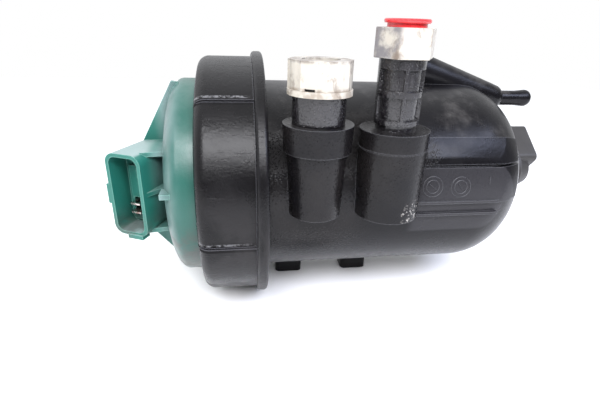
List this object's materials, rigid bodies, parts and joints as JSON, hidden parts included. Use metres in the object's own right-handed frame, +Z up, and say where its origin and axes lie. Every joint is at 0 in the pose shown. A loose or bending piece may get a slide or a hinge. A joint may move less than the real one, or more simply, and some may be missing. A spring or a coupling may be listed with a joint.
{
  "type": "fuel filter",
  "caption": "Horizontal diesel fuel filter with a domed bowl, screwed ring nut, heated green cover, quick-connect ports, bleed nipple and water sensor.",
  "frame": {"origin": "midway between the two bracket bolts, on the faces of the mounting feet", "axes": "+X along the filter's main axis towards the water sensor, +Z up along the ports, -Y towards the front with the ports"},
  "size_m": [0.2159, 0.1189, 0.1343],
  "materials": {
    "black_plastic": "glass-filled nylon, satin, oily",
    "ring_plastic": "glass-filled nylon, satin, scuffed",
    "oily_plastic": "wet with old fuel oil",
    "green_plastic": "satin green nylon, dusty",
    "cream_plastic": "aged cream acetal, oil stained",
    "red_plastic": "glossy polyethylene",
    "sensor_plastic": "satin black",
    "inner_plastic": "satin black",
    "cap_plastic": "satin dark grey",
    "rubber": "matt black",
    "brass": "machined",
    "terminal_metal": "tin plated",
    "steel": "brushed",
    "aluminium": "stamped",
    "heater_ceramic": "sintered ceramic with metal faces",
    "filter_paper": "resin-treated pleated paper"
  },
  "bodies": {
    "housing": {"housing": "black_plastic", "housing_thread": "black_plastic", "bracket_inserts": "brass", "inlet_stem": "oily_plastic", "inlet_stem_seal": "rubber", "inlet_pipe_seals": "rubber", "inlet_spacer": "inner_plastic", "inlet_grab_ring": "steel", "outlet_stem": "oily_plastic", "outlet_stem_seal": "rubber", "outlet_pipe_seals": "rubber", "outlet_spacer": "inner_plastic", "outlet_grab_ring": "steel", "vent_nipple": "black_plastic"},
    "cover_assembly": {"cover": "green_plastic", "cover_seal": "rubber", "slip_ring": "cream_plastic", "heater_carrier": "inner_plastic", "heater_plate": "aluminium", "heater_pills": "heater_ceramic", "heater_contact": "brass", "heater_terminals": "terminal_metal", "thermo_switch": "steel", "filter_media": "filter_paper", "centre_tube": "inner_plastic", "cartridge_top_cap": "cap_plastic", "cartridge_bottom_cap": "cap_plastic", "cartridge_seal": "rubber"},
    "ring_nut": {"ring_nut": "ring_plastic", "ring_nut_thread": "ring_plastic"},
    "sensor_seal": {"sensor_seal": "rubber"},
    "water_sensor": {"water_sensor": "sensor_plastic", "sensor_terminals": "terminal_metal", "sensor_probes": "steel"},
    "inlet_collar": {"inlet_collar": "cream_plastic"},
    "outlet_collar": {"outlet_collar": "cream_plastic"},
    "transport_plug": {"transport_plug": "red_plastic"}
  },
  "joints": [
    {"name": "ring_lift", "type": "slide", "parent": "housing", "child": "cover_assembly", "axis": [-1, 0, 0], "range_m": [0, 0.012]},
    {"name": "ring_turn", "type": "hinge", "parent": "cover_assembly", "child": "ring_nut", "pos_m": [-0.0385, -0.0045, 0.06], "axis": [-1, 0, 0], "range_deg": [0, 1080.01]},
    {"name": "sensor_lift", "type": "slide", "parent": "housing", "child": "sensor_seal", "axis": [1, 0, 0], "range_m": [0, 0.008]},
    {"name": "sensor_turn", "type": "hinge", "parent": "sensor_seal", "child": "water_sensor", "pos_m": [0.0925, -0.0045, 0.06], "axis": [1, 0, 0], "range_deg": [0, 1440.01]},
    {"name": "inlet_collar_press", "type": "slide", "parent": "housing", "child": "inlet_collar", "axis": [0, 0, -1], "range_m": [0, 0.002], "stiffness_N_per_m": 1500},
    {"name": "outlet_collar_press", "type": "slide", "parent": "housing", "child": "outlet_collar", "axis": [0, 0, -1], "range_m": [0, 0.002], "stiffness_N_per_m": 1500},
    {"name": "plug_pull", "type": "slide", "parent": "housing", "child": "transport_plug", "axis": [0, 0, 1], "range_m": [0, 0.03]}
  ],
  "couplings": [
    {"joint": "ring_turn", "follows": "ring_lift", "rad_per_m": 1570.8},
    {"joint": "sensor_turn", "follows": "sensor_lift", "rad_per_m": 3141.6}
  ]
}
